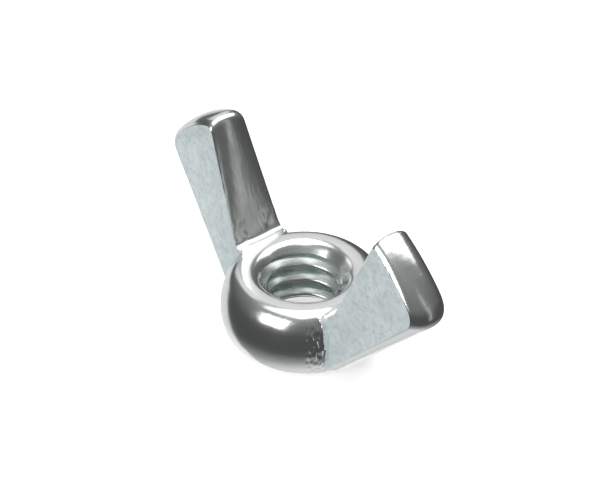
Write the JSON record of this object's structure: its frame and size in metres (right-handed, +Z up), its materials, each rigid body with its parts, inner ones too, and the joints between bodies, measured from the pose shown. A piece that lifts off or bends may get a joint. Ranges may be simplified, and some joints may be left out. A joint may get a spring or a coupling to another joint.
{
  "type": "wing nut",
  "caption": "Forged wing nut with a countersunk, threaded round hub and two tapered wings that lean outwards for turning by hand.",
  "frame": {"origin": "middle of the bearing face, on the axis of the bore", "axes": "+Z up the bore from the bearing face towards the wing tips, +X along the wings towards the right wing, Y across the wings' thickness"},
  "size_m": [0.0266, 0.0116, 0.0131],
  "materials": {
    "zinc_plate": "bright zinc plate, glossy",
    "satin_zinc_plate": "bright zinc plate, satin on the trimmed sides"
  },
  "bodies": {
    "root": {"hub": "zinc_plate", "wing_left": "satin_zinc_plate", "wing_right": "satin_zinc_plate"}
  },
  "joints": []
}
